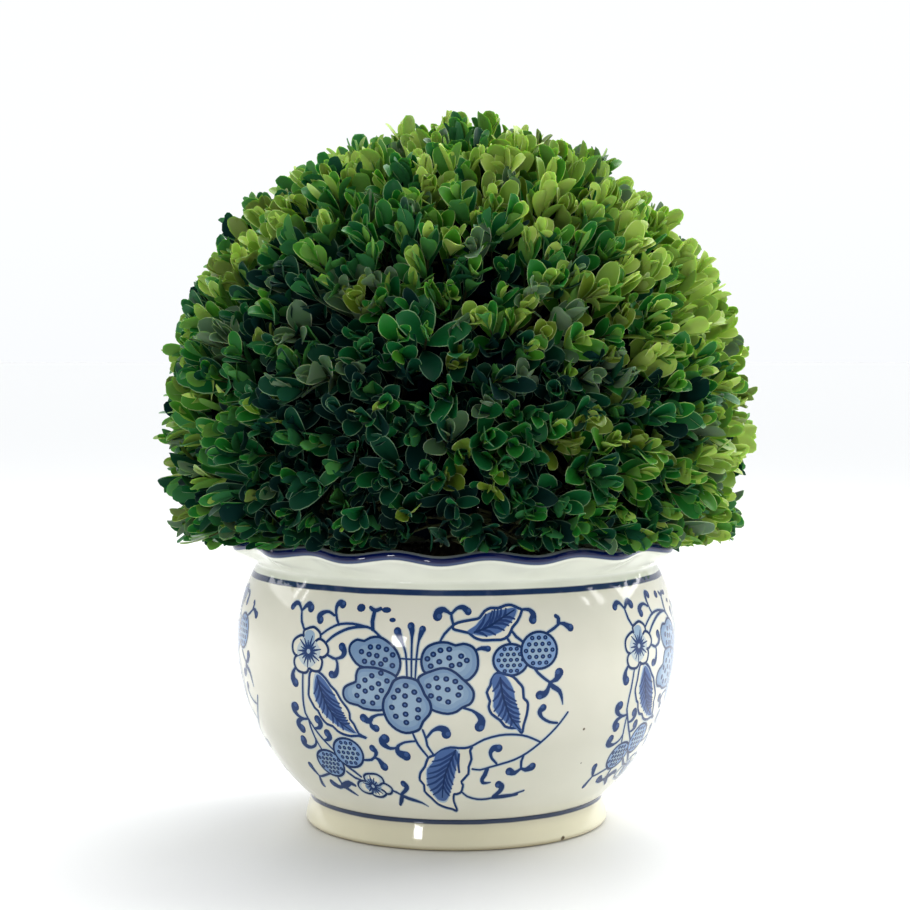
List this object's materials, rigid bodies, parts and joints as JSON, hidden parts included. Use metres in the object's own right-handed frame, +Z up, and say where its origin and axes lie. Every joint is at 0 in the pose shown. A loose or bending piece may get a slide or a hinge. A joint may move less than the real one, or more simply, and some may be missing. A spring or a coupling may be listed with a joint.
{
  "type": "box topiary ball in a footed pot",
  "caption": "Clipped box plant shaped as a ball, cut level below, growing in a rounded, footed ceramic pot with a scalloped rim.",
  "frame": {"origin": "middle of the pot's foot, on the surface that it stands on", "axes": "+Z up; -Y is the front, which the picture shows; +X to the right seen from the front"},
  "size_m": [0.292, 0.2928, 0.3437],
  "materials": {
    "glaze": "gloss",
    "soil": "matte",
    "bark": "matte",
    "leaves": "satin"
  },
  "bodies": {
    "root": {"pot": "glaze", "soil": "soil", "stem": "bark", "leaf_ball": "leaves"}
  },
  "joints": []
}
